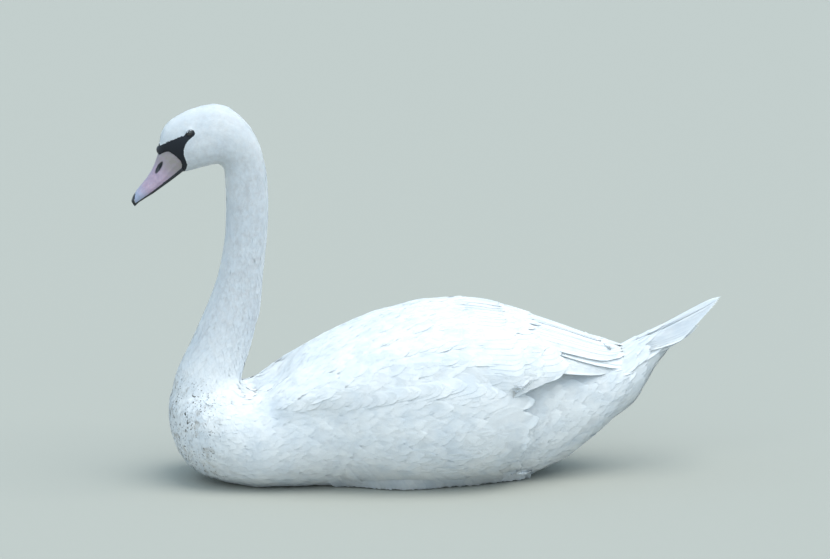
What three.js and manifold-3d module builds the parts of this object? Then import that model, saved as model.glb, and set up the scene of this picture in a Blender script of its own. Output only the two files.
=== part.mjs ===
// A mute swan at life size, resting on its belly with its feet tucked under, head up and bill held down.
// Millimetres. +Z up, -Y ahead, +X the bird's own left. The origin is the middle of the box on the floor.
// Most forms are lofts over ribs. A rib is a cross section of the body: its back point and its belly point
// in the plane X = 0, half its width, how far the widest place leans to the back, and how square it is.
import * as THREE from "three";
import { mergeVertices } from "three/addons/utils/BufferGeometryUtils.js";
import Module from "manifold-3d";

const wasm = await Module();
wasm.setup();

// ---- driving sizes -------------------------------------------------------------------------------------
const GAP = 0.5; // clearance between two pieces that meet
const COARSE = 0.23; // how far a surface may move when its triangles are thinned out
const FAR = 400; // further out than any part of the bird
const EYE_RADIUS = 7;
const EYE = { x: 23.6, y: -326, z: 486.5 }; // the middle of the left eye
const WING_THICK = 13; // feathers and flesh of a folded wing
const FLANK_THICK = 17; // the long feathers of the side, which lie over the lower edge of the wing
const FOOT_LIFT = 18; // height of the hollow that the foot lies in
const SIDES = { left: 1, right: -1 };

const COLOURS = {
  plumage: { color: 0xf2f2ee, roughness: 0.85 },
  neck: { color: 0xe6e5df, roughness: 0.9 },
  bill: { color: 0xcfaab0, roughness: 0.45 },
  black: { color: 0x17161a, roughness: 0.4 },
  eye: { color: 0x0e0b09, roughness: 0.08 },
  foot: { color: 0x25252a, roughness: 0.55 },
};

// ---- ribs ----------------------------------------------------------------------------------------------
// Neck and head, from inside the breast up to the root of the bill.
// back: [y, z], front: [y, z], half: half width.
const NECK_RIBS = [
  { back: [-236, 92], front: [-342, 62], half: 84 },
  { back: [-252, 122], front: [-354, 110], half: 68 },
  { back: [-257, 142], front: [-346.5, 150], half: 54 },
  { back: [-245.5, 182], front: [-328, 189], half: 43 },
  { back: [-231.5, 235], front: [-304.5, 242], half: 35 },
  { back: [-227.5, 280], front: [-289, 283], half: 31 },
  { back: [-220.5, 336], front: [-278.5, 339], half: 28.5 },
  { back: [-218, 385], front: [-276.5, 385], half: 27.5 },
  { back: [-219, 411], front: [-277.2, 407], half: 27 },
];
const HEAD_RIBS = [
  { back: [-222.5, 438], front: [-278, 425], half: 27.5, lean: 0 },
  { back: [-232, 469], front: [-280.5, 436.5], half: 29.5, lean: 0 },
  { back: [-249, 497.5], front: [-288, 440.5], half: 33, lean: -0.05 },
  { back: [-281, 521.5], front: [-302, 438], half: 35, lean: -0.12 },
  { back: [-316, 518], front: [-316, 434.5], half: 33.5, lean: -0.16 },
  { back: [-343, 506.5], front: [-326, 431.5], half: 28, lean: -0.14 },
  { back: [-361.5, 491], front: [-331, 430.5], half: 21.5, lean: -0.06 },
  { back: [-367.5, 467], front: [-334, 430.5], half: 18, lean: 0 },
  { back: [-369, 457], front: [-341, 424.5], half: 17, lean: 0 },
];
const BILL_RIBS = [
  { back: [-354, 476], front: [-321, 440], half: 22.5, lean: -0.1 },
  { back: [-367.5, 459], front: [-334, 430.3], half: 18.4, lean: -0.1 },
  { back: [-374, 441.5], front: [-348.4, 419.4], half: 16.5, lean: -0.2 },
  { back: [-381, 427.5], front: [-362.8, 409.4], half: 15.5, lean: -0.2 },
  { back: [-393, 412], front: [-380.3, 397.3], half: 15.5, lean: -0.1 },
  { back: [-402.5, 400], front: [-393.5, 389.8], half: 13.5, lean: 0 },
  { back: [-406.5, 390], front: [-401.5, 382.3], half: 7, lean: 0 },
];
// The trunk without its wings. at: y, top and bottom: z. Below the floor it is cut off flat.
const TRUNK_RIBS = [
  { at: -357.5, top: 103, bottom: 86, half: 9 },
  { at: -354, top: 120, bottom: 64, half: 34 },
  { at: -342, top: 133, bottom: 34, half: 64 },
  { at: -322, top: 140, bottom: 14, half: 88 },
  { at: -290, top: 140, bottom: 1, half: 106 },
  { at: -240, top: 133, bottom: -8, half: 122 },
  { at: -180, top: 162, bottom: -9, half: 131 },
  { at: -100, top: 206, bottom: -9, half: 137 },
  { at: 0, top: 234, bottom: -9, half: 138 },
  { at: 80, top: 228, bottom: -9, half: 128 },
  { at: 140, top: 208, bottom: -2, half: 107 },
  { at: 200, top: 186, bottom: 26, half: 84 },
  { at: 250, top: 172, bottom: 68, half: 62 },
  { at: 290, top: 172, bottom: 105, half: 41 },
  { at: 320, top: 183, bottom: 153, half: 25 },
  { at: 342, top: 194, bottom: 181, half: 10 },
];
// The outside of the two folded wings together.
const WING_RIBS = [
  { at: -226, top: 144, bottom: 60, half: 122 },
  { at: -190, top: 167, bottom: 52, half: 137 },
  { at: -120, top: 206, bottom: 44, half: 148 },
  { at: -50, top: 231.5, bottom: 38, half: 153 },
  { at: 20, top: 245, bottom: 40, half: 154 },
  { at: 80, top: 241.5, bottom: 50, half: 149 },
  { at: 130, top: 227, bottom: 66, half: 136 },
  { at: 180, top: 210, bottom: 86, half: 112 },
  { at: 230, top: 191, bottom: 108, half: 78 },
  { at: 270, top: 178, bottom: 122, half: 47 },
  { at: 308, top: 160, bottom: 136, half: 22 },
];
// The outside of the two flanks together.
const FLANK_RIBS = [
  { at: -168, top: 190, bottom: 6, half: 126, square: 2.6 },
  { at: -100, top: 210, bottom: -2, half: 148, square: 2.6 },
  { at: -30, top: 216, bottom: -4, half: 160, square: 2.6 },
  { at: 30, top: 216, bottom: -2, half: 161, square: 2.6 },
  { at: 85, top: 205, bottom: 4, half: 151, square: 2.6 },
  { at: 132, top: 180, bottom: 16, half: 122, square: 2.6 },
];

// ---- solids --------------------------------------------------------------------------------------------
function solidOf(geometry) {
  const bare = geometry.index ? geometry.toNonIndexed() : geometry.clone();
  for (const name of ["normal", "uv"]) bare.deleteAttribute(name);
  const merged = mergeVertices(bare, 1e-4);
  const made = new wasm.Manifold(
    new wasm.Mesh({
      numProp: 3,
      vertProperties: merged.attributes.position.array,
      triVerts: new Uint32Array(merged.index.array),
    }),
  );
  if (made.volume() < 0) throw new Error("a geometry is inside out");
  return made;
}

function geometryOf(solid) {
  const mesh = solid.getMesh();
  const places = new Float32Array(mesh.numVert * 3);
  for (let i = 0; i < mesh.numVert; i++) {
    const from = i * mesh.numProp;
    places.set(mesh.vertProperties.subarray(from, from + 3), i * 3);
  }
  const geometry = new THREE.BufferGeometry();
  geometry.setAttribute("position", new THREE.BufferAttribute(places, 3));
  geometry.setIndex(new THREE.BufferAttribute(mesh.triVerts, 1));
  geometry.computeVertexNormals();
  return geometry;
}

// Rings of points, each joined to the next, with a flat cap on the first and the last.
function skinOver(rings) {
  const sides = rings[0].length;
  const places = rings.flat().flatMap((p) => [p.x, p.y, p.z]);
  const faces = [];
  for (let r = 0; r + 1 < rings.length; r++)
    for (let i = 0; i < sides; i++) {
      const a = r * sides + i;
      const b = r * sides + ((i + 1) % sides);
      faces.push(a, b, b + sides, a, b + sides, a + sides);
    }
  for (const [ring, turned] of [
    [0, true],
    [rings.length - 1, false],
  ]) {
    const middle = new THREE.Vector3();
    rings[ring].forEach((p) => middle.addScaledVector(p, 1 / sides));
    const centre = places.length / 3;
    places.push(middle.x, middle.y, middle.z);
    for (let i = 0; i < sides; i++) {
      const a = ring * sides + i;
      const b = ring * sides + ((i + 1) % sides);
      faces.push(...(turned ? [b, a, centre] : [a, b, centre]));
    }
  }
  const geometry = new THREE.BufferGeometry();
  geometry.setAttribute("position", new THREE.Float32BufferAttribute(places, 3));
  geometry.setIndex(faces);
  return geometry;
}

const bend = (v, power) => Math.sign(v) * Math.abs(v) ** power;

// A loft over ribs, grown outwards by grow. from and to say which stretch of it, in ribs.
function loft(ribs, { rings, sides, grow = 0, from = 0, to = ribs.length - 1 }) {
  const whole = ribs.map((rib) => ({
    back: rib.back ?? [rib.at, rib.top],
    front: rib.front ?? [rib.at, rib.bottom],
    form: [rib.half, rib.lean ?? 0, rib.square ?? 2.25],
  }));
  const curve = (points) => new THREE.CatmullRomCurve3(points, false, "centripetal");
  const backs = curve(whole.map((r) => new THREE.Vector3(0, ...r.back)));
  const fronts = curve(whole.map((r) => new THREE.Vector3(0, ...r.front)));
  const forms = curve(whole.map((r) => new THREE.Vector3(...r.form)));
  const made = [];
  for (let r = 0; r <= rings; r++) {
    const t = (from + ((to - from) * r) / rings) / (ribs.length - 1);
    const back = backs.getPoint(t);
    const front = fronts.getPoint(t);
    const form = forms.getPoint(t);
    const middle = back.clone().add(front).multiplyScalar(0.5);
    const up = back.clone().sub(front).multiplyScalar(0.5);
    up.setLength(up.length() + grow);
    made.push(
      Array.from({ length: sides }, (_, i) => {
        const angle = (2 * Math.PI * (i + 0.5)) / sides;
        const rise = bend(Math.sin(angle), 2 / form.z);
        const wide = (form.x + grow) * bend(Math.cos(angle), 2 / form.z);
        const point = middle.clone().addScaledVector(up, rise);
        point.x = wide * (1 + form.y * rise);
        return point;
      }),
    );
  }
  const solid = skinOver(made);
  const signed = new THREE.Vector3();
  const [a, b, c] = [made[0][0], made[0][1], made[1][0]];
  signed.crossVectors(b.clone().sub(a), c.clone().sub(a));
  const outwards = a.clone().sub(made[0][sides / 2]);
  if (signed.dot(outwards) > 0) return solidOf(solid);
  solid.setIndex(Array.from(solid.index.array).reverse());
  return solidOf(solid);
}

// A slab of constant outline in the side view, from x = inner to x = outer, on one side of the bird.
function sidePrism(outline, { side = 1, inner = GAP / 2, outer = FAR, smooth = true, grow = 0 }) {
  const points = outline.map(([y, z]) => new THREE.Vector2(y, z));
  const drawn = new THREE.Shape();
  if (smooth) {
    drawn.moveTo(points[0].x, points[0].y);
    drawn.splineThru(points.slice(1));
  } else drawn.setFromPoints(points);
  let line = smooth ? drawn.getSpacedPoints(2 * points.length) : points;
  if (grow) line = widened(line, grow);
  const slab = new THREE.ExtrudeGeometry(new THREE.Shape(line), {
    depth: outer - inner,
    bevelEnabled: false,
  });
  // The shape's x and y become the bird's y and z, and its depth the bird's x.
  slab.applyMatrix4(new THREE.Matrix4().set(0, 0, 1, inner, 1, 0, 0, 0, 0, 1, 0, 0, 0, 0, 0, 1));
  const made = solidOf(slab);
  return side > 0 ? made : made.mirror([1, 0, 0]);
}

// A closed outline with every point moved outwards.
function widened(line, by) {
  const closed = line[0].distanceTo(line[line.length - 1]) < 1e-6 ? line.slice(0, -1) : line;
  const turn = THREE.ShapeUtils.area(closed) > 0 ? 1 : -1;
  return closed.map((p, i) => {
    const before = closed[(i + closed.length - 1) % closed.length];
    const after = closed[(i + 1) % closed.length];
    const along = after.clone().sub(before).normalize();
    return new THREE.Vector2(p.x + along.y * by * turn, p.y - along.x * by * turn);
  });
}

function box(x0, x1, y0, y1, z0, z1) {
  const made = new THREE.BoxGeometry(x1 - x0, y1 - y0, z1 - z0);
  return solidOf(made.translate((x0 + x1) / 2, (y0 + y1) / 2, (z0 + z1) / 2));
}

function ball(radii, place, turn = [0, 0, 0], detail = [16, 12]) {
  const made = new THREE.SphereGeometry(1, ...detail);
  made.scale(...radii);
  made.applyMatrix4(new THREE.Matrix4().makeRotationFromEuler(new THREE.Euler(...turn)));
  return solidOf(made.translate(...place));
}

// A flat pointed blade with a lens-like section: a feather, a toe or a claw.
function blade(spine, half, thick, { across, rings = 8, sides = 8, form = leafForm }) {
  const line = new THREE.CatmullRomCurve3(spine.map((p) => new THREE.Vector3(...p)));
  const made = [];
  for (let r = 0; r <= rings; r++) {
    const t = r / rings;
    const along = line.getTangent(t);
    const over = new THREE.Vector3(...across);
    over.addScaledVector(along, -over.dot(along)).normalize();
    const up = along.clone().cross(over);
    const share = form(t);
    const middle = line.getPoint(t);
    made.push(
      Array.from({ length: sides }, (_, i) => {
        const angle = (2 * Math.PI * i) / sides;
        return middle
          .clone()
          .addScaledVector(over, half * share * Math.cos(angle))
          .addScaledVector(up, thick * (0.35 + 0.65 * share) * Math.sin(angle));
      }),
    );
  }
  const geometry = skinOver(made);
  try {
    return solidOf(geometry);
  } catch {
    geometry.setIndex(Array.from(geometry.index.array).reverse());
    return solidOf(geometry);
  }
}

const leafForm = (t) => 0.05 + 0.95 * Math.sin(Math.PI * (0.08 + 0.84 * t) ** 0.8) ** 0.6;
const toeForm = (t) => 1 - 0.45 * t;
const clawForm = (t) => 1 - 0.85 * t;

const joined = (solids) => solids.reduce((a, b) => a.add(b));
const without = (solid, others) => others.reduce((a, b) => a.subtract(b), solid);

// The piece of a solid that is left once slivers are dropped.
function largest(solid) {
  return solid.decompose().sort((a, b) => b.volume() - a.volume())[0];
}

// ---- head and neck -------------------------------------------------------------------------------------
const SPINE_RIBS = [...NECK_RIBS, ...HEAD_RIBS];
const NECK_CUTS = [2.1, 4, 6, 7.6]; // where the neck is parted, in ribs
const CUT = 0.008; // half of each cut, in ribs
const HEAD_FROM = 9.2;

function neckPieces() {
  const stops = [...NECK_CUTS, HEAD_FROM];
  const names = ["neck_base", "neck_lower", "neck_middle", "neck_upper"];
  return names.map((name, i) => [
    name,
    loft(SPINE_RIBS, { rings: 4, sides: 20, from: stops[i] + CUT, to: stops[i + 1] - CUT }),
  ]);
}

const NECK_ROOT = loft(SPINE_RIBS, { rings: 5, sides: 20, from: 0, to: NECK_CUTS[0] - CUT });

function eyeBall(side, radius) {
  return ball([radius, radius, radius], [side * EYE.x, EYE.y, EYE.z], [0, 0, 0], [10, 8]);
}

const KNOB = { radii: [7.5, 6.4, 7.5], place: [0, -364.8, 459.5], turn: [0.5, 0, 0] };

function knobBall(grow) {
  const radii = KNOB.radii.map((r) => r + grow);
  return ball(radii, KNOB.place, KNOB.turn, [10, 6]);
}

// Where the upper half of the bill ends and the lower begins, from the gape to the tip.
const MOUTH = [
  [-320, 445.5],
  [-333, 436.5],
  [-343, 428.3],
  [-350, 423.2],
  [-363, 413.6],
  [-377, 403.9],
  [-386, 397.8],
  [-396, 389.9],
  [-402, 385.4],
  [-412, 377],
];
// Where the bill ends and the feathers of the face begin, from above the culmen to below the gape.
const BILL_EDGE = [
  [-390, 452],
  [-371, 453],
  [-365.5, 457.5],
  [-361.2, 461.6],
  [-359.2, 463],
  [-355.5, 461],
  [-349.6, 457],
  [-343.8, 452.4],
  [-338.6, 446.5],
  [-337.2, 442],
  [-337.2, 437],
  [-334.5, 432],
  [-332, 424],
];
const NAIL_EDGE = [
  [-397, 412],
  [-399.6, 404.5],
  [-402.2, 398],
  [-403, 392.5],
  [-401.5, 388],
  [-398.5, 381],
];
const NOSTRIL = { radii: [4, 3.2, 10], place: [14.5, -368.6, 437.6], turn: [-0.47, 0, 0] };

function billPieces() {
  const through = { inner: -FAR, outer: FAR, smooth: false };
  const ahead = sidePrism([...BILL_EDGE, [-430, 330], [-430, 452]], through);
  const whole = loft(BILL_RIBS, { rings: 9, sides: 16 }).intersect(ahead);
  const narrow = loft(BILL_RIBS, { rings: 8, sides: 14, grow: -0.4 }).intersect(ahead);
  const above = sidePrism([...MOUTH, [-430, 560], [-300, 560]], through);
  const below = sidePrism([...MOUTH.map(([y, z]) => [y, z - GAP]), [-430, 330], [-300, 330]], through);
  const nail = [...NAIL_EDGE, [-430, 365], [-430, 430]];
  const tip = sidePrism(nail, through);
  const tipRoom = sidePrism(nail, { ...through, grow: GAP });
  const nostrils = Object.values(SIDES).map((side) =>
    ball(NOSTRIL.radii, [side * NOSTRIL.place[0], ...NOSTRIL.place.slice(1)], NOSTRIL.turn, [8, 6]),
  );
  const upper = whole.intersect(above);
  return [
    ["bill_upper", without(upper, [tipRoom, ...nostrils, knobBall(GAP)])],
    ["bill_lower", narrow.intersect(below)],
    ["bill_nail", upper.intersect(tip)],
  ];
}

function headPieces() {
  const form = { rings: 15, sides: 18, from: HEAD_FROM + CUT, to: SPINE_RIBS.length - 1 };
  const sockets = Object.values(SIDES).map((side) => eyeBall(side, EYE_RADIUS + GAP));
  const billRoom = [...BILL_EDGE, [-430, 330], [-430, 452]];
  const bill = sidePrism(billRoom, { inner: -FAR, outer: FAR, smooth: false, grow: GAP });
  return [
    ["head", without(loft(SPINE_RIBS, form), [bill, ...sockets])],
    ["bill_knob", knobBall(0).subtract(loft(SPINE_RIBS, { ...form, grow: GAP }))],
    ["eye_left", eyeBall(SIDES.left, EYE_RADIUS)],
    ["eye_right", eyeBall(SIDES.right, EYE_RADIUS)],
  ];
}

// ---- wings and flanks ----------------------------------------------------------------------------------
// Each group of feathers is a piece of a shell, inside an outline in the side view.
// A group that comes earlier lies over the later ones.
const FLANK_OUTLINE = [
  [-142, 30],
  [-150, 84],
  [-132, 128],
  [-94, 135],
  [-54, 145],
  [-17, 154],
  [44, 155],
  [78, 148],
  [102, 138],
  [118, 122],
  [126, 93],
  [122, 52],
  [98, 22],
  [0, 12],
  [-90, 14],
];
const WING_GROUPS = {
  scapulars: [
    [-222, 320],
    [-226, 136],
    [-204, 146],
    [-160, 168],
    [-80, 193],
    [0, 207],
    [60, 214],
    [100, 222],
    [116, 240],
    [120, 320],
  ],
  tertials: [
    [60, 320],
    [60, 206],
    [134, 214],
    [172, 206],
    [218, 190],
    [251, 175],
    [263, 170],
    [272, 176],
    [277, 190],
    [280, 320],
  ],
  coverts: [
    [-224, 260],
    [-226, 122],
    [-160, 128],
    [-84, 130],
    [-14, 136],
    [52, 142],
    [98, 148],
    [120, 168],
    [122, 196],
    [108, 260],
  ],
  secondaries: [
    [40, 260],
    [40, 134],
    [100, 136],
    [128, 152],
    [160, 161],
    [186, 166],
    [191, 171],
    [176, 186],
    [156, 203],
    [132, 222],
  ],
  primaries: [
    [132, 240],
    [140, 213],
    [172, 196],
    [223, 173],
    [253, 160],
    [296, 152],
    [290, 162],
    [270, 182],
    [240, 205],
    [190, 235],
  ],
};
const SHELL = { rings: 11, sides: 24 };
const LINING = { rings: 8, sides: 16 }; // the inside of a shell, which nobody sees

// The room of one kind of feather group: a shell thick under the outside of its loft, and that with clearance.
function shellOf(ribs, thick) {
  return {
    solid: loft(ribs, SHELL).subtract(loft(ribs, { ...LINING, grow: -thick })),
    room: loft(ribs, { ...LINING, grow: FAR / 10 }).subtract(loft(ribs, { ...LINING, grow: -thick - GAP })),
  };
}

const FLANK_INNER = 80; // no flank feather grows nearer to the middle of the bird
const FLANK_SHELL = shellOf(FLANK_RIBS, FLANK_THICK);
const WING_SHELL = shellOf(WING_RIBS, WING_THICK);

function featherGroups(side, name) {
  const groups = [[`flank_${name}`, FLANK_OUTLINE, FLANK_SHELL, FLANK_INNER]];
  for (const [group, outline] of Object.entries(WING_GROUPS))
    groups.push([`wing_${name}_${group}`, outline, WING_SHELL, 0]);
  const taken = [];
  const rooms = [];
  const pieces = groups.map(([label, outline, shell, inner]) => {
    const slab = sidePrism(outline, { side, inner: inner + GAP / 2 });
    const grown = sidePrism(outline, { side, inner: inner - GAP, grow: GAP });
    const piece = largest(without(shell.solid.intersect(slab), taken));
    taken.push(grown);
    rooms.push(shell.room.intersect(grown));
    return [label, piece];
  });
  return { pieces, room: joined(rooms) };
}

// ---- tail ----------------------------------------------------------------------------------------------
const TAIL = { feathers: 7, root: [0, 268, 173], length: 158, rise: 0.448, spread: 0.34, droop: 16, half: 19 };

function tailPiece() {
  const middle = (TAIL.feathers - 1) / 2;
  return joined(
    Array.from({ length: TAIL.feathers }, (_, i) => {
      const off = (i - middle) / middle; // -1 at one edge of the fan, 1 at the other
      const length = TAIL.length * (1 - 0.34 * Math.abs(off) ** 1.3);
      const turn = TAIL.spread * off;
      const reach = (share) => [
        TAIL.root[0] + 15 * off + length * share * Math.sin(turn),
        TAIL.root[1] + length * share * Math.cos(turn) * Math.cos(TAIL.rise),
        TAIL.root[2] + length * share * Math.sin(TAIL.rise) - TAIL.droop * off * off * (0.4 + 0.6 * share),
      ];
      const tilt = -0.9 * off * Math.abs(off);
      return blade([reach(0), reach(0.5), reach(1)], TAIL.half, 2.2, {
        across: [1, 0, tilt],
        rings: 3,
        sides: 4,
      });
    }),
  );
}

// ---- legs and feet -------------------------------------------------------------------------------------
// Each leg lies folded under the belly: the shank runs ahead from the heel, and the toes lie flat ahead of it.
const FOOT = { x: 52, heel: 122, ankle: 40, turn: 0.12, toes: { inner: 84, middle: 118, outer: 108 } };
const TOE_TURN = { inner: 0.3, middle: 0.02, outer: -0.24 };
const SOLE = 5.2; // height of a toe's middle above the floor
const SHANK_SPINE = [9, 8, 7]; // height of the shank's middle at the heel, halfway and at the ankle
const FLOOR = box(-FAR, FAR, -FAR, FAR, -FAR, 0);

function legPieces(side, name) {
  const heading = (turn) => [-side * Math.sin(turn), -Math.cos(turn)];
  const at = ([dx, dy], reach, z) => [side * FOOT.x + dx * reach, FOOT.ankle + dy * reach, z];
  const floor = FLOOR.translate([0, 0, 0.6]);
  const back = FOOT.heel - FOOT.ankle;
  const shank = blade(
    SHANK_SPINE.map((z, i) => at(heading(FOOT.turn * 0.4), [-back, -back / 2, -4 - GAP][i], z)),
    8,
    6.2,
    { across: [1, 0, 0], rings: 4, sides: 10, form: () => 1 },
  );
  const claws = [];
  const toes = [];
  const tips = [];
  for (const [toe, reach] of Object.entries(FOOT.toes)) {
    const way = heading(TOE_TURN[toe] - FOOT.turn);
    const line = [at(way, -3, SOLE + 1), at(way, reach / 2, SOLE), at(way, reach, SOLE - 1.2)];
    toes.push(blade(line, 6.5, 4.6, { across: [1, 0, 0], rings: 2, sides: 6, form: toeForm }));
    tips.push(at(way, reach * 0.93, 0).slice(0, 2));
    const nail = [at(way, reach + GAP, SOLE - 1.2), at(way, reach + 8, SOLE - 1), at(way, reach + 15, 2.4)];
    claws.push([
      `claw_${name}_${toe}`,
      blade(nail, 3, 2.4, { across: [1, 0, 0], rings: 3, sides: 5, form: clawForm }).subtract(floor),
    ]);
  }
  const web = new THREE.Shape([at([0, -1], 4, 0), ...tips].map(([x, y]) => new THREE.Vector2(x, y)));
  const sheet = solidOf(new THREE.ExtrudeGeometry(web, { depth: 2.4, bevelEnabled: false }));
  const foot = joined([...toes, sheet.translate([0, 0, 0.6])]).subtract(floor);
  const behind = box(-FAR, FAR, FOOT.ankle + 4, FAR, -1, FAR);
  return [
    [`shank_${name}`, largest(shank.subtract(floor))],
    [`foot_${name}`, largest(foot.subtract(behind))],
    ...claws.map(([claw, made]) => [claw, largest(made)]),
  ];
}

// The hollow under the belly that a folded leg lies in: [x from the middle of the foot, y] round its rim.
const HOLLOW = [
  [0, 146],
  [-14, 122],
  [-15, 60],
  [-42, -10],
  [-39, -80],
  [-9, -112],
  [24, -98],
  [37, -60],
  [18, 50],
  [14, 122],
];

function footHollow(side) {
  const rim = HOLLOW.map(([x, y]) => new THREE.Vector2(side * (FOOT.x + x), y));
  const outline = new THREE.Shape().moveTo(rim[0].x, rim[0].y);
  outline.splineThru([...rim.slice(1), rim[0]]);
  const slab = new THREE.ExtrudeGeometry(new THREE.Shape(outline.getSpacedPoints(18)), {
    depth: 20 + FOOT_LIFT,
    bevelEnabled: false,
  });
  return solidOf(slab.translate(0, 0, -20));
}

// ---- trunk ---------------------------------------------------------------------------------------------
const BREAST_END = -205; // where the breast meets the trunk
const VENT_FROM = 138; // where the trunk meets the vent
const TRUNK_LOFT = { rings: 18, sides: 22 };

function trunkPieces(rooms) {
  const body = without(loft(TRUNK_RIBS, TRUNK_LOFT), [FLOOR, ...Object.values(SIDES).map(footHollow), ...rooms]);
  const between = (from, to) => body.intersect(box(-FAR, FAR, from + GAP / 2, to - GAP / 2, -FAR, FAR));
  const neckRoom = loft(SPINE_RIBS, { rings: 6, sides: 20, from: NECK_CUTS[0] - CUT, to: 4, grow: 2 });
  return [
    ["breast", between(-FAR, BREAST_END).subtract(neckRoom).add(NECK_ROOT.subtract(FLOOR))],
    ["trunk", between(BREAST_END, VENT_FROM)],
    ["vent", between(VENT_FROM, FAR)],
  ];
}

// ---- the bird ------------------------------------------------------------------------------------------
function slotOf(name) {
  if (name.startsWith("neck") || name === "head") return "neck";
  if (name === "bill_upper") return "bill";
  if (name.startsWith("bill")) return "black";
  if (name.startsWith("eye")) return "eye";
  if (/^(shank|foot|claw)/.test(name)) return "foot";
  return "plumage";
}

function meshOf(name, solid) {
  const kept = largest(solid).simplify(/^(bill|eye)/.test(name) ? COARSE / 3 : COARSE);
  const mesh = new THREE.Mesh(geometryOf(kept), new THREE.MeshStandardMaterial(COLOURS[slotOf(name)]));
  mesh.name = name;
  return mesh;
}

const sides = Object.entries(SIDES);
const groups = sides.map(([name, side]) => featherGroups(side, name));
const rooms = groups.map((group) => group.room);
const tailRoom = joined([loft(TRUNK_RIBS, { ...TRUNK_LOFT, grow: GAP }), ...rooms]);

const swan = new THREE.Group();
swan.name = "mute_swan";
for (const [name, solid] of [
  ...headPieces(),
  ...billPieces(),
  ...neckPieces(),
  ...trunkPieces(rooms),
  ...groups.flatMap((group) => group.pieces),
  ["tail", tailPiece().subtract(tailRoom)],
  ...sides.flatMap(([name, side]) => legPieces(side, name)),
])
  swan.add(meshOf(name, solid));

// The origin is the middle of the box on the floor.
const around = new THREE.Box3().setFromObject(swan, true);
swan.position.set(0, -(around.min.y + around.max.y) / 2, 0);

export default swan;
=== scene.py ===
"""A mute swan afloat, as a still, life-size model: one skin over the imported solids, a coat of mesh
feathers on it, and the finish of bill, eyes and feet. Tables are in millimetres, which MM turns into
metres. -Y is ahead, +Z is up and +X is the bird's own left."""

import math
from contextlib import contextmanager

import bmesh
import bpy
import numpy as np
from mathutils import Matrix, Vector
from mathutils.bvhtree import BVHTree
from mathutils.kdtree import KDTree


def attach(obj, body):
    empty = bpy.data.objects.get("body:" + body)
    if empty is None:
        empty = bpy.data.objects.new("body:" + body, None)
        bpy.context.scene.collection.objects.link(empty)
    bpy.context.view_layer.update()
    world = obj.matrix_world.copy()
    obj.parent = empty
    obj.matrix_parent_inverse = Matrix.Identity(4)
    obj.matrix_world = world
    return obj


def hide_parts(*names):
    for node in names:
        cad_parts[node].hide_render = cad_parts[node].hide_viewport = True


MM = 0.001
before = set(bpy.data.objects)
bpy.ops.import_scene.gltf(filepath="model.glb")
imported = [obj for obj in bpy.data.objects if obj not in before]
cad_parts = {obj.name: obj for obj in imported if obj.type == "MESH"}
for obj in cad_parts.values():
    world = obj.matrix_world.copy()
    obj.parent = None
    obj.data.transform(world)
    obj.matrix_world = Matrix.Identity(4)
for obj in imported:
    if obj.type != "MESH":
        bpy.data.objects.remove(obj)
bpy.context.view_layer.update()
SIDES = {"left": 1, "right": -1}
GROUPS = ("scapulars", "tertials", "coverts", "secondaries", "primaries")
rng = np.random.default_rng(20)

# ---- where things are ----
# The bird's spine in the plane X = 0, from the root of the bill to the root of the tail, as (y, z).
SPINE = [
    (-362, 458), (-330, 474), (-296, 477), (-266, 462), (-251, 430), (-249, 385), (-250, 335), (-258, 285),
    (-268, 238), (-284, 188), (-296, 148), (-296, 112), (-262, 86), (-200, 88), (-100, 100), (0, 108),
    (100, 114), (200, 130), (270, 155), (335, 186),
]
NECK_TOP = 150  # how far along the spine the neck starts
NECK_END = 470  # and how far along it ends
# The edge of the black bare skin between bill and eye, seen from the side, as (y, z).
MASK = [
    (-369, 467), (-360, 473.5), (-351, 477.5), (-340, 483), (-333, 488.5), (-328, 491.6), (-323.6, 490),
    (-322.3, 486.4), (-323.4, 483), (-327.4, 479.9), (-331.8, 476.2), (-335.6, 470.5), (-337.6, 463.5),
    (-337.4, 455.5), (-334.6, 448), (-332.8, 442), (-334, 434), (-345, 415), (-400, 380), (-400, 440),
]
EYE = (23.6, -328.3, 486.5)  # the middle of the left eye
EYE_RADIUS = 7.0
KNOB = (0, -367.1, 459.5)  # the middle of the knob at the root of the bill
KNOB_BARE = 10.5  # how far the bare skin reaches from there


# ---- arrays ----
def length(vectors):
    return np.linalg.norm(vectors, axis=-1)


def unit(vectors):
    return vectors / np.maximum(np.linalg.norm(vectors, axis=-1, keepdims=True), 1e-12)


def eased(share):
    """A change from 0 to 1 that starts and ends softly."""
    return share * share * (3 - 2 * share)


def reaches(line):
    """How far along a line of points each of them lies."""
    return np.concatenate([[0], np.cumsum(length(np.diff(line, axis=0)))])


def read_along(line, reach, wanted):
    """The places on a line at the wanted lengths. reach says how far along it each of its points lies."""
    return np.stack([np.interp(wanted, reach, line[:, k]) for k in range(line.shape[1])], 1)


def smooth_curve(points, count, steps=24):
    """count points along a Catmull-Rom curve through the given ones, in metres, an equal way apart."""
    p = np.array(points, float) * MM
    p = np.vstack([2 * p[0] - p[1], p, 2 * p[-1] - p[-2]])
    made = []
    for a, b, c, d in zip(p, p[1:], p[2:], p[3:]):
        square, cube = 2 * a - 5 * b + 4 * c - d, 3 * b - a - 3 * c + d
        for t in np.linspace(0, 1, steps, endpoint=False):
            made.append(0.5 * (2 * b + (c - a) * t + square * t**2 + cube * t**3))
    made = np.array(made + [p[-2]])
    along = reaches(made)
    even = np.linspace(0, along[-1], count)
    return read_along(made, along, even), even


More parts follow.
